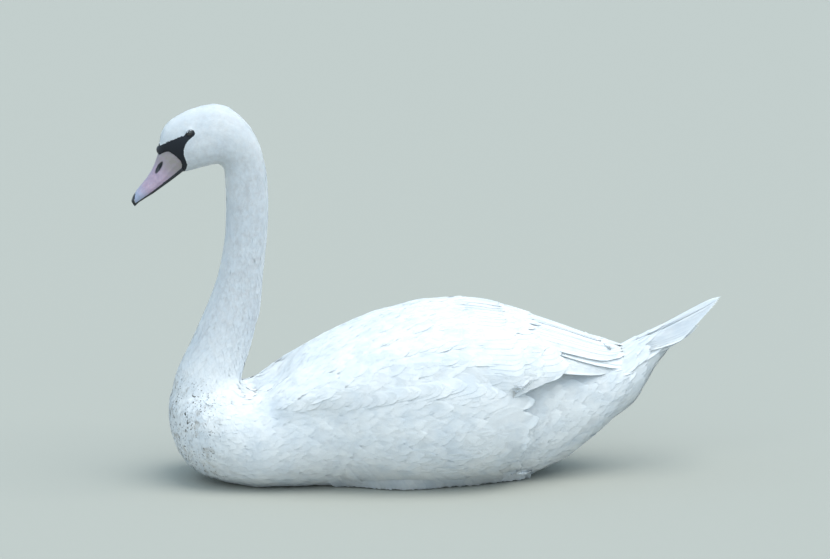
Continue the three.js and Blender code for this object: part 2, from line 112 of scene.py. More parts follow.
def inside_by(points, outline):
    """How far each (y, z) point lies inside a closed outline, in metres, and less than 0 outside it."""
    ring = np.array(outline, float) * MM
    ends = np.roll(ring, -1, 0)
    best = np.full(len(points), 1e9)
    odd = np.zeros(len(points), bool)
    for a, b in zip(ring, ends):
        run = b - a
        share = np.clip(((points - a) @ run) / (run @ run), 0, 1)
        best = np.minimum(best, length(points - a - share[:, None] * run))
        crosses = (a[1] > points[:, 1]) != (b[1] > points[:, 1])
        slope = (points[:, 1] - a[1]) / (run[1] if run[1] else 1e-12)
        odd ^= crosses & (points[:, 0] < a[0] + slope * run[0])
    return np.where(odd, best, -best)


def bell(values, middle, width):
    """1 at middle, and less on both sides of it."""
    return np.exp(-(((values - middle) / width) ** 2))


def window(values, low, high, edge):
    """1 between low and high, and 0 from edge further out, with a soft change."""
    return eased(np.clip(np.minimum(values - low, high - values) / edge + 1, 0, 1))


class Surface:
    """A triangle mesh that says where it is nearest to a point, and which way it faces there."""

    def __init__(self, places, triangles):
        self.places, self.triangles = places, triangles
        self.tree = BVHTree.FromPolygons(places.tolist(), triangles.tolist(), all_triangles=True)
        a, b, c = self.corners(triangles)
        total = np.zeros_like(places)
        for k in range(3):
            np.add.at(total, triangles[:, k], np.cross(b - a, c - a))
        self.normals = unit(total)

    def corners(self, triangles):
        return (self.places[triangles[:, k]] for k in range(3))

    def at(self, points):
        found = [self.tree.find_nearest(p) for p in points.tolist()]
        spot = np.array([f[0] for f in found])
        face = self.triangles[[f[2] for f in found]]
        a, b, c = self.corners(face)
        whole = np.cross(b - a, c - a)
        size = np.maximum((whole * whole).sum(1), 1e-24)
        weight_b = (np.cross(spot - a, c - a) * whole).sum(1) / size
        weight_c = (np.cross(b - a, spot - a) * whole).sum(1) / size
        weights = np.stack([1 - weight_b - weight_c, weight_b, weight_c], 1)
        return spot, unit((self.normals[face] * weights[:, :, None]).sum(1))


# ---- meshes ----
def read(items, what, size, kind=float):
    """One row of numbers for each vertex, edge, corner or face of a mesh."""
    rows = np.zeros(len(items) * size, kind)
    items.foreach_get(what, rows)
    return rows.reshape(-1, size)


def places_of(mesh):
    return read(mesh.vertices, "co", 3)


def arrays_of(mesh):
    mesh.calc_loop_triangles()
    return places_of(mesh), read(mesh.loop_triangles, "vertices", 3, int)


def set_places(mesh, places):
    mesh.vertices.foreach_set("co", places.astype(np.float32).ravel())
    mesh.update()


def set_values(mesh, title, values):
    """One number for each vertex, for a material to read."""
    mesh.attributes.new(title, "FLOAT", "POINT").data.foreach_set("value", values.astype(np.float32))


def placed(name, data):
    """A new object in the scene."""
    made = bpy.data.objects.new(name, data)
    bpy.context.scene.collection.objects.link(made)
    return made


def shown(name, mesh, material):
    mesh.materials.append(material)
    return placed(name, mesh)


@contextmanager
def edited(mesh):
    """The mesh to work on as a bmesh, which is written back at the end."""
    work = bmesh.new()
    work.from_mesh(mesh)
    yield work
    work.to_mesh(mesh)
    work.free()


def remeshed(nodes, voxel, swell):
    """One closed mesh round several CAD nodes, each first swollen so that the gaps between them close."""
    mesh = bpy.data.meshes.new("joined")
    with edited(mesh) as joined:
        for node in nodes:
            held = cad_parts[node].data.copy()
            with edited(held) as part:
                bmesh.ops.remove_doubles(part, verts=part.verts, dist=1e-6)
                part.normal_update()
                for vert in part.verts:
                    vert.co += vert.normal * swell
            joined.from_mesh(held)
            bpy.data.meshes.remove(held)
    holder = placed("holder", mesh)
    change = holder.modifiers.new("voxels", "REMESH")
    change.mode, change.voxel_size = "VOXEL", voxel
    made = bpy.data.meshes.new_from_object(holder.evaluated_get(bpy.context.evaluated_depsgraph_get()))
    bpy.data.objects.remove(holder)
    bpy.data.meshes.remove(mesh)
    drop_islands(made)
    return made


def drop_islands(mesh):
    """Keeps only the largest island: the others are hollows shut up inside."""
    with edited(mesh) as work:
        left = set(work.verts)
        islands = []
        while left:
            todo = [left.pop()]
            island = list(todo)
            while todo:
                near = {vert for edge in todo.pop().link_edges for vert in edge.verts} & left
                left -= near
                todo += near
                island += near
            islands.append(island)
        islands.sort(key=len)
        bmesh.ops.delete(work, geom=[v for island in islands[:-1] for v in island], context="VERTS")


def neighbour_means(mesh):
    """Gives a function that averages numbers held by vertices over each one's neighbours."""
    one, two = read(mesh.edges, "vertices", 2, int).T
    size = len(mesh.vertices)
    count = np.maximum(np.bincount(one, minlength=size) + np.bincount(two, minlength=size), 1)

    def mean(values):
        if values.ndim > 1:
            return np.stack([mean(column) for column in values.T], -1)
        return (np.bincount(one, values[two], size) + np.bincount(two, values[one], size)) / count

    return mean


TAUBIN = (0.5, -0.53)  # the steps of one round of a smoothing that keeps the volume
PLAIN = (0.6,)  # and those of one that takes steps and folds away


def smoothed(mesh, rounds, weight=1.0, steps=TAUBIN):
    """Evens out facets, as much as the weight of each vertex says."""
    mean, places = neighbour_means(mesh), places_of(mesh)
    weight = np.broadcast_to(np.asarray(weight, float), len(places))[:, None]
    for step in steps * rounds:
        places = places + step * weight * (mean(places) - places)
    set_places(mesh, places)
    return places


def refined(mesh, chosen):
    """Cuts the chosen faces finer. chosen takes their middles and gives True or False for each."""
    with edited(mesh) as work:
        keep = chosen(np.array([face.calc_center_median() for face in work.faces]))
        edges = {edge for face, wanted in zip(work.faces, keep) if wanted for edge in face.edges}
        bmesh.ops.subdivide_edges(work, edges=list(edges), cuts=1, use_grid_fill=True)
        bmesh.ops.triangulate(work, faces=[face for face in work.faces if len(face.verts) > 4])


# ---- the spine and the lie of the coat ----
spine_yz, spine_reach = smooth_curve(SPINE, 160)
spine = np.insert(spine_yz, 0, 0, axis=1)
spine_ways = unit(np.gradient(spine, axis=0))
SPINE_BLEND = 22 * MM


def along_spine(points):
    """How far along the spine each point is, and the spine's way and its place there, softly blended."""
    away = ((points[:, None, :] - spine[None]) ** 2).sum(2)
    weight = np.exp(-(away - away.min(1, keepdims=True)) / SPINE_BLEND**2)
    weight /= weight.sum(1, keepdims=True)
    return weight @ spine_reach, unit(weight @ spine_ways), weight @ spine


def lie(points, normals, yaw):
    """The way that feathers point: along the spine, turned by yaw radians in the surface."""
    way = along_spine(points)[1]
    way = unit(way - normals * (way * normals).sum(1, keepdims=True))
    return way * np.cos(yaw)[:, None] + np.cross(normals, way) * np.sin(yaw)[:, None]


def unwrap(points):
    """The skin laid flat as a tube slit along the belly: u runs from bill to tail, v round the spine."""
    reach, way, middle = along_spine(points)
    up = np.cross(np.broadcast_to([-1.0, 0, 0], way.shape), way)
    out = points - middle
    angle = np.arctan2(out[:, 0], (out * up).sum(1))
    u = np.interp(reach / MM, [0, NECK_TOP, NECK_END, spine_reach[-1] / MM], [0.01, 0.26, 0.6, 0.99])
    return np.column_stack([u, 0.01 + 0.98 * (angle / (2 * math.pi) + 0.5)])


# ---- materials ----
class Shader:
    """A material's node tree, written as calls: most add nodes and give the last one's output."""

    def __init__(self, name):
        self.material = bpy.data.materials.new(name)
        self.material.use_nodes = True
        self.tree = self.material.node_tree
        self.surface = self.tree.nodes["Principled BSDF"]

    def put(self, socket, value):
        if isinstance(value, bpy.types.NodeSocket):
            self.tree.links.new(value, socket)
        elif isinstance(value, tuple) and len(value) == 3 and socket.type == "RGBA":
            socket.default_value = (*value, 1)
        else:
            socket.default_value = value

    def node(self, kind, *values, out=0, settings=None, **named):
        """A node, with its first sockets set in their order and others by their names."""
        made = self.tree.nodes.new(kind)
        for key, value in (settings or {}).items():
            setattr(made, key, value)
        for key, value in [*enumerate(values), *named.items()]:
            self.put(made.inputs[key], value)
        return made.outputs[out]

    def math(self, operation, a, b=0.0):
        return self.node("ShaderNodeMath", a, b, settings={"operation": operation})

    def times(self, *shares):
        """The product of several numbers."""
        made = shares[0]
        for share in shares[1:]:
            made = self.math("MULTIPLY", made, share)
        return made

    def ramp(self, value, low, high, to_low=0.0, to_high=1.0):
        smooth = {"interpolation_type": "SMOOTHSTEP"}
        return self.node("ShaderNodeMapRange", value, low, high, to_low, to_high, settings=smooth)

    def mix(self, share, a, b, blend="MIX"):
        made = self.tree.nodes.new("ShaderNodeMix")
        made.data_type, made.blend_type = "RGBA", blend
        self.put(made.inputs[0], share)
        self.put(made.inputs[6], a)
        self.put(made.inputs[7], b)
        return made.outputs[2]

    def noise(self, place, scale, detail=3.0, rough=0.55):
        return self.node("ShaderNodeTexNoise", Vector=place, Scale=scale, Detail=detail, Roughness=rough)

    def stretched(self, place, scale):
        return self.node("ShaderNodeVectorMath", place, scale, settings={"operation": "MULTIPLY"})

    def place(self):
        return self.node("ShaderNodeTexCoord", out="Object")

    def parts(self, vector):
        return [self.node("ShaderNodeSeparateXYZ", out=k, Vector=vector) for k in range(3)]

    def wobble(self, scale, size):
        """A small number, as often below 0 as above it, that makes the edges of markings uneven."""
        return self.times(self.math("SUBTRACT", self.noise(self.place(), scale, 3), 0.5), size)

    def value(self, name):
        return self.node("ShaderNodeAttribute", out="Fac", settings={"attribute_name": name})

    def bump(self, height, strength, distance):
        normal = self.node("ShaderNodeBump", Height=height, Strength=strength, Distance=distance)
        self.put(self.surface.inputs["Normal"], normal)

    def finish(self, **sockets):
        for key, value in sockets.items():
            self.put(self.surface.inputs[key.replace("_", " ")], value)
        return self.material


WHITE = (0.90, 0.91, 0.91)
SHADE = (0.79, 0.83, 0.865)
# the neck's and face's off-white is darker and bluer than the body's: partly the bird's own dull tone,
# partly painted shade
NECK_WHITE = (0.74, 0.775, 0.81)
NECK_GREY = (0.60, 0.60, 0.61)
STAIN = (0.36, 0.30, 0.22)
SPECK = (0.05, 0.045, 0.03)
BLACK = (0.007, 0.009, 0.014)


def plumage_colour(s):
    """The markings of skin and coat alike, by place in metres: white, with soft shades."""
    place = s.place()
    x, y, z = s.parts(place)
    white = s.mix(s.ramp(s.noise(place, 30, 3), 0.35, 0.75), WHITE, SHADE)
    # greyer along both sides of the neck, and less so on the face: the grey mottle is stain, while the
    # darker bluish tint is partly painted shade, which leaves the crown and the neck's front and back white
    mottle = s.noise(s.stretched(place, (1, 1, 0.8)), 130, 5, 0.65)
    neck = s.mix(s.ramp(mottle, 0.34, 0.74), NECK_WHITE, NECK_GREY)
    off_middle = s.ramp(s.math("ABSOLUTE", x), 0.008, 0.026)
    above_breast = s.times(s.ramp(z, 0.13, 0.24), s.ramp(y, -0.18, -0.215))
    below_head = s.ramp(z, 0.48, 0.42, 0.55, 1)
    colour = s.mix(s.times(above_breast, below_head, off_middle, 0.8), white, neck)
    # stained and specked low on the breast
    low = s.times(s.ramp(z, 0.17, 0.115), s.ramp(y, -0.27, -0.335))
    patches = s.ramp(s.noise(place, 75, 5, 0.7), 0.5, 0.66)
    colour = s.mix(s.times(low, patches, 0.6), colour, STAIN)
    dots, groups = s.ramp(s.noise(place, 380, 0), 0.66, 0.74), s.ramp(s.noise(place, 45, 2), 0.42, 0.54)
    return s.mix(s.times(dots, groups, low), colour, SPECK)


def skin_material():
    """The plumage under the coat, and the black bare skin inside the mask."""
    s = Shader("skin")
    black = s.ramp(s.math("ADD", s.value("mask"), s.wobble(900, 1.4 * MM)), -0.3 * MM, 0.3 * MM)
    s.bump(s.noise(s.place(), 1600, 4, 0.6), 0.5, 0.4 * MM)
    return s.finish(
        Base_Color=s.mix(black, plumage_colour(s), BLACK), Roughness=s.ramp(black, 0, 1, 0.85, 0.5),
        Specular_IOR_Level=0.3,
    )


def coat_material():
    """The same plumage, each feather in its own tone, with slanted barbs on both sides of a raised shaft."""
    s = Shader("coat")
    colour = s.mix(s.times(s.value("tone"), 0.3), plumage_colour(s), SHADE, "MULTIPLY")
    across, along, _ = s.parts(s.node("ShaderNodeUVMap", settings={"uv_map": "Vane"}))
    off_shaft = s.math("ABSOLUTE", across)
    barbs = s.math("SINE", s.times(s.math("SUBTRACT", along, s.times(off_shaft, 1.3)), 62.0))
    s.bump(s.math("ADD", s.times(barbs, 0.5), s.times(s.ramp(off_shaft, 0.0, 0.06), -1.2)), 0.35, 0.15 * MM)
    return s.finish(
        Base_Color=colour, Roughness=0.8, Specular_IOR_Level=0.3,
        Subsurface_Weight=0.3, Subsurface_Radius=(1.0, 1.0, 1.0), Subsurface_Scale=5 * MM,
    )


SKIN = skin_material()
COAT = coat_material()


# ---- the form of the folded wings and flanks ----
class Shell:
    """The outside of both folded wings, of both flanks or of the tail's root: a loft over ribs of y, top,
    bottom and half width. square is 2 for round ribs, and more for squarer ones."""

    def __init__(self, ribs, square):
        self.table, _ = smooth_curve(ribs, 200)
        self.square = square

    def rib(self, y):
        return [np.interp(y, self.table[:, 0], self.table[:, k]) for k in (1, 2, 3)]

    def turn(self, y, z):
        """How far round the rib, from 0 at the top, a place seen from the side lies."""
        top, bottom, _ = self.rib(y)
        rise = np.clip((2 * z - top - bottom) / (top - bottom), -1, 1)
        return np.arccos(np.sign(rise) * np.abs(rise) ** (self.square / 2))

    def place(self, y, turn):
        top, bottom, half = self.rib(y)
        power = 2 / self.square
        rise = np.sign(np.cos(turn)) * np.abs(np.cos(turn)) ** power
        x = np.sign(turn) * half * np.abs(np.sin(turn)) ** power
        return np.stack([x, y, (top + bottom) / 2 + rise * (top - bottom) / 2], -1)

    def measure(self, points):
        """1 on the shell, less inside and more outside."""
        top, bottom, half = self.rib(points[..., 1])
        rise = np.abs((2 * points[..., 2] - top - bottom) / (top - bottom))
        return np.abs(points[..., 0] / half) ** self.square + rise**self.square

    def slope(self, points):
        step = 1.0 * MM
        rises = [self.measure(points + away) - self.measure(points - away) for away in step * np.eye(3)]
        return np.stack(rises, -1) / (2 * step)

    def normal(self, points):
        return unit(self.slope(points))

    def height(self, points):
        """How far outside the shell points are, nearly."""
        return (self.measure(points) - 1) / length(self.slope(points))


WING = Shell([
    (-228, 144, 60, 122), (-192, 167, 52, 137), (-122, 206, 44, 148), (-52, 231.5, 38, 153),
    (18, 245, 40, 154), (78, 241.5, 50, 149), (128, 227, 66, 136), (178, 210, 86, 112), (228, 191, 108, 78),
    (268, 178, 122, 47), (306, 160, 136, 22),
], 2.25)
FLANK = Shell([
    (-170, 190, 6, 126), (-102, 210, -2, 148), (-32, 216, -4, 160), (28, 216, -2, 161), (83, 205, 4, 151),
    (130, 180, 16, 122), (150, 160, 30, 95),
], 2.6)


# ---- skin ----
WING_NODES = [f"wing_{side}_{group}" for side in SIDES for group in GROUPS]
FLESH = ["head", "neck_upper", "neck_middle", "neck_lower", "neck_base", "breast", "trunk", "vent"]
FLESH += [f"flank_{side}" for side in SIDES] + WING_NODES
EYES = [f"eye_{side}" for side in SIDES]
BILL = ["bill_upper", "bill_lower", "bill_knob"]
BODY = [name for name in FLESH if not name.endswith("_primaries")] + EYES + BILL


# How deep the coat is over the skin: how far along the spine, then the depth there.
DEPTHS = np.array([(0, 0.5), (40, 0.8), (110, 1.2), (200, 1.8), (420, 2.6), (560, 4.2), (1100, 5)])


def coat_depth(points):
    return np.interp(along_spine(points)[0] / MM, *DEPTHS.T) * MM


# Half the length and height of the eye's opening, the lid's thickness and how softly it leaves the face.
LID = {"long": 4.9, "high": 3.5, "thick": 0.6, "soft": 0.6}


def eye_middle(side):
    return np.array([EYE[0] * side, *EYE[1:]]) * MM


def eye_axes(side):
    """The way an eye looks, the way its corner at the back lies, and the way across."""
    look = unit(np.array([0.97 * side, -0.2, 0.08]))
    long = np.array([0, 0.87, 0.5])
    long = unit(long - look * (long @ look))
    return look, long, np.cross(look, long) * side


def shape_lids(places, closed):
    """Draws the surface over the eyeballs: as one smooth swelling if closed, and else open between lids."""
    for side in SIDES.values():
        look, long, across = eye_axes(side)
        middle = eye_middle(side)
        on_side = places[:, 0] * side > 0
        near = np.nonzero((length(places - middle) < 16 * MM) & on_side)[0]
        out = (places[near] - middle) / MM
        u, v, height = out @ long, out @ across, out @ look
        r2 = u * u + v * v
        if closed:
            lid = EYE_RADIUS + LID["thick"] - 0.09 * r2
            soft = LID["soft"]
            swollen = np.logaddexp(lid / soft, height / soft) * soft
            height = height + (swollen - height) * np.clip((11 - np.sqrt(r2)) / 3, 0, 1)
        else:
            opening = np.sqrt((u / LID["long"]) ** 2 + (v / LID["high"]) ** 2)
            height = height + 0.3 * bell(opening, 1.12, 0.09)  # the lid's raised edge
            height = height - 0.35 * bell(opening, 1.6, 0.12)  # the fold round it
            behind = np.sqrt(np.maximum((EYE_RADIUS - 1.2) ** 2 - r2, 0))
            share = np.clip((1.0 - opening) / 0.1, 0, 1)
            height = height * (1 - share) + behind * share
        places[near] = middle + (u[:, None] * long + v[:, None] * across + height[:, None] * look) * MM
    return places


# The notch between neck and back, seen from the side: the back's rise (all y, then all z), the neck's back
# edge (z, then y), the notch's limits, half the width of the back's ridge, and the length of the soft end.
BACK_RISE = ([-262, -247, -232, -216, -202, -188, -178, -168], [115, 119, 125.5, 134, 145, 157, 164, 171])
NECK_EDGE = ([118, 135, 165, 187, 230], [-267, -264, -255, -247, -238])
NOTCH = {"y": -168, "z": 225, "x": 90, "ridge": 45, "fade": 44}
FAR_SIDE = 0.175  # how much higher a place on the far side seems, for its distance from the middle


def keep_notch(places):
    """Empties the notch that smoothing fills between the neck's back edge and the front of the back."""
    x, y, z = (places / MM).T
    off = np.abs(x)
    over_back = z - np.interp(y, *BACK_RISE) + FAR_SIDE * np.minimum(off, NOTCH["ridge"])
    over_back = over_back - 1.2 * np.maximum(off - NOTCH["ridge"], 0)
    behind_neck = y - np.interp(z, *NECK_EDGE)
    inside = (over_back > 0) & (behind_neck > 0) & (y < NOTCH["y"]) & (z < NOTCH["z"]) & (off < NOTCH["x"])
    down = inside & (over_back < behind_neck)
    ahead = inside & ~down
    fade = eased(np.clip((NOTCH["y"] - 2 - y) / NOTCH["fade"], 0, 1))
    places[down, 2] -= (over_back * fade)[down] * MM
    places[ahead, 1] -= behind_neck[ahead] * MM
    return places


def build_outside():
    """The outer form of the whole bird, to the tips of its body feathers."""
    mesh = remeshed(BODY, 4 * MM, 0.5 * MM)
    on_body = np.interp(along_spine(places_of(mesh))[0] / MM, [430, 520], [0.25, 1.0])
    smoothed(mesh, 20, on_body)
    x, y, z = (places_of(mesh) / MM).T
    off_middle = np.clip((np.abs(x) - 18) / 30, 0, 1)  # the notch between neck and back stays sharp
    shoulder = window(y, -250, -140, 45) * window(z, 45, 260, 30) * off_middle
    flank_front = window(y, -170, -90, 60) * window(z, 20, 175, 20)
    smoothed(mesh, 90, np.maximum(shoulder, flank_front), PLAIN)
    smoothed(mesh, 10, on_body * window(y, -200, 360, 20), PLAIN)
    places = keep_notch(places_of(mesh))
    set_places(mesh, places)
    x, y, _ = (places / MM).T
    between_sides = np.clip((85 - np.abs(x)) / 20, 0, 1)
    smoothed(mesh, 12, window(y, -256, -165, 16) * between_sides)
    smoothed(mesh, 16, window(y, -222, -160, 14) * between_sides, PLAIN)
    for front, low in ((-272, 425), (-310, 430)):  # the face is finer than the body
        refined(mesh, lambda p: (p[:, 1] < front * MM) & (p[:, 2] > low * MM))
        smoothed(mesh, 2)
    refined(mesh, near_eye)
    set_places(mesh, shape_lids(places_of(mesh), closed=True))
    return mesh


def near_eye(points):
    off = np.abs(np.abs(points[:, 0]) - EYE[0] * MM)
    return (off < 12 * MM) & (length(points[:, 1:] - np.array(EYE[1:]) * MM) < 11 * MM)


outside = build_outside()
outer = Surface(*arrays_of(outside))


def owner_tree():
    """Tells which CAD node lies nearest to a point."""
    places, faces, owners = [], [], []
    for name in FLESH + BILL:
        got, triangles = arrays_of(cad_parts[name].data)
        faces += (triangles + len(places)).tolist()
        places += got.tolist()
        owners += [name] * len(triangles)
    tree = BVHTree.FromPolygons(places, faces, all_triangles=True)
    return lambda points: np.array([owners[tree.find_nearest(p)[2]] for p in points.tolist()])


owner_of = owner_tree()


def bare_by(points):
    """How far inside the black bare skin each point is: in the mask, round the knob or in the eyes' rims."""
    knob = KNOB_BARE * MM - length(points - np.array(KNOB) * MM)
    mask = np.maximum(inside_by(points[:, 1:], MASK), knob)
    for side in SIDES.values():
        look, long, across = eye_axes(side)
        out = points - eye_middle(side)
        rim = 1 - np.sqrt((out @ long / LID["long"]) ** 2 + (out @ across / LID["high"]) ** 2) / MM + 0.2
        rim = np.where(out @ look > 0, rim * 4 * MM, -1)
        mask = np.maximum(mask, rim)
    return mask


LONG_GROUPS = ("tertials", "secondaries", "primaries")
FEATHERS_ONLY = [f"wing_{side}_{group}" for side in SIDES for group in LONG_GROUPS]
UNDER_LONG = 9 * MM  # how deep the skin lies where only long feathers are over it
THIN = 0.42  # the skin goes no deeper than this share of the form's thickness
UNDER_WING = 6 * MM  # and how far it keeps under the form that the wing's long feathers lie on
UNDER_BILL = 1.5 * MM  # how deep it lies inside the bill


def thickness(places, normals):
    """How thick the outer form is behind each of its places."""
    starts = places - normals * 0.2 * MM
    hits = [outer.tree.ray_cast(p, n)[3] for p, n in zip(starts.tolist(), (-normals).tolist())]
    return np.array([0.05 if hit is None else hit for hit in hits])


def build_skin():
    """The outer form sunk by the depth of the coat, with the bare skin marked and the eyes open."""
    mesh = outside.copy()
    places, normals = outer.places, outer.normals
    mask = bare_by(places)
    ahead = np.nonzero((places[:, 1] < -0.33) & (places[:, 2] < 0.47))[0]
    on_bill = ahead[np.isin(owner_of(places[ahead]), BILL)]
    mask[on_bill] = 2 * MM
    bare = np.clip(mask / (2 * MM) + 1, 0, 1)
    depth = coat_depth(places) * (1 - 0.8 * bare)
    depth[on_bill] = UNDER_BILL
    behind = np.nonzero((places[:, 1] > 0.02) & (places[:, 2] > 0.10))[0]
    in_wing = np.isin(owner_of(places[behind]), FEATHERS_ONLY)
    wanted = np.where(in_wing, UNDER_LONG, depth[behind])
    depth[behind] = np.minimum(wanted, THIN * thickness(places[behind], normals[behind]))
    mean = neighbour_means(mesh)
    for _ in range(12):
        depth[behind] = 0.5 * depth[behind] + 0.5 * mean(depth)[behind]
    places = places - normals * depth[:, None]
    places[:, 2] = np.maximum(places[:, 2], 0)
    in_wing = (places[:, 1] > 0.125) & (places[:, 1] < 0.265) & (places[:, 2] > 0.14)
    over = np.maximum(WING.height(places[in_wing]) + UNDER_WING, 0)
    places[in_wing] -= WING.normal(places[in_wing]) * over[:, None]
    set_places(mesh, shape_lids(places, closed=False))
    set_values(mesh, "mask", mask)
    mesh.shade_smooth()
    mesh.name = "skin"
    made = shown("skin", mesh, SKIN)
    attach(made, "root")
    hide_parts(*FLESH)


build_skin()


# ---- feathers ----
def vane_faces(rows, cols):
    """The faces of one closed vane over a grid of rows and columns: a top, a flat back and two end caps."""
    at = np.arange((rows + 1) * (cols + 1)).reshape(rows + 1, cols + 1)
    top = np.stack([at[:-1, :-1], at[:-1, 1:], at[1:, 1:], at[1:, :-1]], -1).reshape(-1, 4)
    back = np.stack([at[:-1, 0], at[1:, 0], at[1:, -1], at[:-1, -1]], -1)
    return [*top], [*back, at[0, ::-1], at[-1]]


def joined_vanes(name, grid, facing, softness, tone, patch, vane_uv):
    """One mesh of many vanes. grid, their corners, and facing, the way that the form under them faces, are
    (vanes, rows, columns, 3). softness is how far a vane's shading follows that form, and not its own. patch
    and vane_uv are the maps OFBake and Vane."""
    count, rows, cols = grid.shape[0], grid.shape[1] - 1, grid.shape[2] - 1
    top, rest = vane_faces(rows, cols)
    faces = top + rest
    corners = np.concatenate(faces)
    sizes = np.array([len(face) for face in faces])
    each = (rows + 1) * (cols + 1)
    loops = (np.arange(count)[:, None] * each + corners[None]).ravel()
    starts = np.concatenate([[0], np.cumsum(np.tile(sizes, count))[:-1]])
    mesh = bpy.data.meshes.new(name)
    mesh.vertices.add(count * each)
    mesh.vertices.foreach_set("co", grid.astype(np.float32).ravel())
    mesh.loops.add(len(loops))
    mesh.loops.foreach_set("vertex_index", loops.astype(np.int32))
    mesh.polygons.add(count * len(faces))
    mesh.polygons.foreach_set("loop_start", starts.astype(np.int32))
    smooth = np.tile(np.arange(len(faces)) < len(top), count)
    mesh.polygons.foreach_set("use_smooth", smooth)
    mesh.update(calc_edges=True)
    for title, values in (("OFBake", patch), ("Vane", vane_uv)):
        layer = mesh.uv_layers.new(name=title)
        layer.data.foreach_set("uv", values.reshape(-1, 2)[loops].astype(np.float32).ravel())
    mesh.uv_layers["Vane"].active_render = True
    set_values(mesh, "tone", np.repeat(tone, each))
    own = read(mesh.corner_normals, "vector", 3, np.float32)
    form = facing.reshape(-1, 3)[loops]
    flat = np.repeat(read(mesh.polygon_normals, "vector", 3, np.float32), np.tile(sizes, count), 0)
    own = np.where((own * flat).sum(1, keepdims=True) < 0.3, flat, own)
    alike = np.clip(2 * (own * form).sum(1, keepdims=True), -1, 1)
    blended = unit(form * alike * softness + own * (1 - softness))
    blended = np.where((blended * flat).sum(1, keepdims=True) < 0.1, flat, blended)
    mesh.normals_split_custom_set(blended.astype(np.float32))
    return mesh


# Where along a feather its rows lie, from the root to the tip.
TINY = (0, 0.4, 0.75, 1)
SMALL = (0, 0.3, 0.6, 0.85, 1)
BROAD = (0, 0.25, 0.5, 0.72, 0.88, 0.96, 1)
LONG = (0, 0.1, 0.2, 0.32, 0.44, 0.56, 0.67, 0.77, 0.85, 0.91, 0.955, 0.985, 1)


VANE_UNIT = 10 * MM  # what 1 is in the map Vane
PATCH = 0.003  # how big a vane is in the map OFBake


def feather_grid(place, normal, way, long, half, shares, cols, form):
    """The corners of many vanes, and their map Vane. place, normal and way are (vanes, rows, 3), from root
    to tip. In form, root and tip are the shares of the width left at the ends, round is where the tip starts
    to round off, blunt how far its corners fall back and ragged how uneven its edge is. depth is how far the
    root lies below the surface, under how far the middle does, cup how far the sides do and tilt how far one
    side does. jitter and twist are how much under and tilt differ. shell is what the vanes bend round."""
    count = len(long)
    half, long, depth, under, tilt = (
        np.broadcast_to(values, count)[:, None, None]
        for values in (half, long, form["depth"], form["under"], form["tilt"])
    )
    side = np.cross(way, normal)
    t = np.asarray(shares)[None, :, None]
    u = np.linspace(-1, 1, cols + 1)[None, None, :]
    near_tip = np.clip((t - form["round"]) / (1 - form["round"]), 0, 1)
    outline = form["root"] + (1 - form["root"]) * np.minimum(t / 0.35, 1) ** 0.7
    outline = outline * np.sqrt(1 - (1 - form["tip"] ** 2) * near_tip**2.2)
    across = half * outline * u
    uneven = form["ragged"] * np.abs(rng.normal(0, 1.5, (count, 1, cols + 1))) * (1 - u**2) * t**4
    ahead = long * (uneven - form["blunt"] * u**2 * t**3)
    high = -(depth - under) * (1 - eased(np.minimum(t / 0.4, 1))) - under * (1 - t)
    high = high + rng.normal(0, form["jitter"], (count, 1, 1)) * under * t
    tilt = rng.normal(0, form["twist"], (count, 1, 1)) + tilt
    high = high - half * (form["cup"] * u**2 - tilt * u) * t
    grid = place[:, :, None] + side[:, :, None] * across[..., None] + way[:, :, None] * ahead[..., None]
    if "shell" in form:
        high = high + form["shell"].height(place)[:, :, None] - form["shell"].height(grid)
    grid = grid + normal[:, :, None] * high[..., None]
    grid[..., 2] = np.maximum(grid[..., 2], 0.3 * MM)
    return grid, np.stack(np.broadcast_arrays(across / VANE_UNIT, t * long / VANE_UNIT), -1)


def patches(roots, shares, cols):
    """A small square for each vane in the map OFBake, at its root's place on the skin laid flat."""
    u = np.linspace(-1, 1, cols + 1)[None, :]
    t = 2 * np.asarray(shares)[:, None] - 1
    square = np.stack(np.broadcast_arrays(u, t), -1) * PATCH / 2
    return unwrap(roots)[:, None, None] + square[None]


def vanes(name, roots, long, half, form, shares, cols, yaw):
    """Feathers that grow at roots and follow the outer form. long and half have one number for each feather,
    and yaw is how much their ways differ, in radians."""
    turn = rng.normal(0, yaw, len(roots))
    place, normal = outer.at(roots)
    line = []
    for step in np.diff([*shares, shares[-1]]):
        way = lie(place, normal, turn)
        line.append((place, normal, way))
        place, normal = outer.at(place + way * (long * step)[:, None])
    place, normal, way = (np.stack([step[k] for step in line], 1) for k in range(3))
    grid, vane_uv = feather_grid(place, normal, way, long, half, shares, cols, form)
    facing = np.broadcast_to(normal[:, :, None], grid.shape)
    tone = rng.random(len(roots))
    return joined_vanes(name, grid, facing, form["soft"], tone, patches(roots, shares, cols), vane_uv)


def scattered(points, spacing):
    """Picks points so that no two are nearer than their spacing."""
    tree = KDTree(len(points))
    for i, point in enumerate(points.tolist()):
        tree.insert(point, i)
    tree.balance()
    free = np.ones(len(points), bool)
    kept = []
    for i, point in enumerate(points.tolist()):
        if free[i]:
            kept.append(i)
            for _, j, _ in tree.find_range(point, spacing[i]):
                free[j] = False
    return np.array(kept)


def sample(surface, density):
    """Random points on a surface, as many to a square metre as density says at each triangle's middle."""
    a, b, c = surface.corners(surface.triangles)
    area = length(np.cross(b - a, c - a)) / 2
    wanted = area * density((a + b + c) / 3)
    count = np.floor(wanted + rng.random(len(wanted))).astype(int)
    which = np.repeat(np.arange(len(area)), count)
    u, v = rng.random((2, len(which)))
    flip = u + v > 1
    u[flip], v[flip] = 1 - u[flip], 1 - v[flip]
    return a[which] + (b - a)[which] * u[:, None] + (c - a)[which] * v[:, None]


